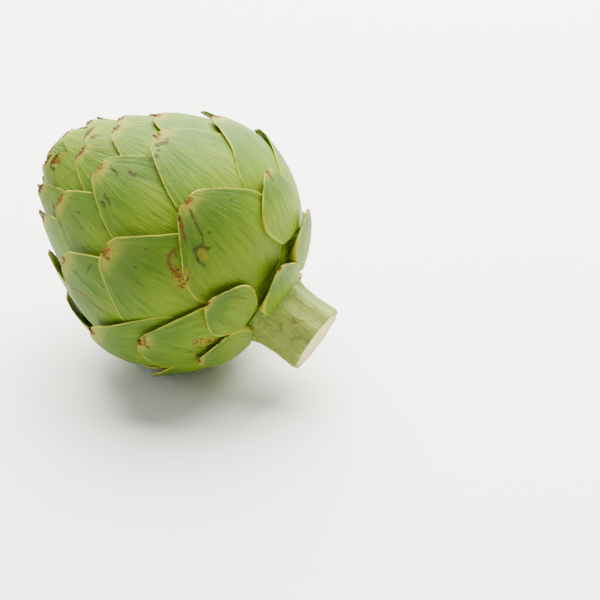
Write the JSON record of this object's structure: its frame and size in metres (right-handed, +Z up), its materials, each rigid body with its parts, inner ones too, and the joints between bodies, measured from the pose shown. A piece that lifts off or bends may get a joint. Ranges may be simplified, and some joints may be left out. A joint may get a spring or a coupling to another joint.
{
  "type": "artichoke",
  "caption": "Whole globe artichoke lying on its side: a round head of overlapping green bracts with notched tips and a short ribbed stem stub.",
  "frame": {"origin": "on the surface it lies on, at the flat spot under the head and under the centre of mass", "axes": "+Z up from the flat spot; +X level, towards the side the stem points to; the head's axis lies in the XZ plane and its tip is raised 25 degrees above -X"},
  "size_m": [0.1179, 0.0987, 0.0963],
  "materials": {
    "bract": "waxy satin",
    "stem": "matte"
  },
  "bodies": {
    "root": {"head": "bract", "stem": "stem"}
  },
  "joints": []
}
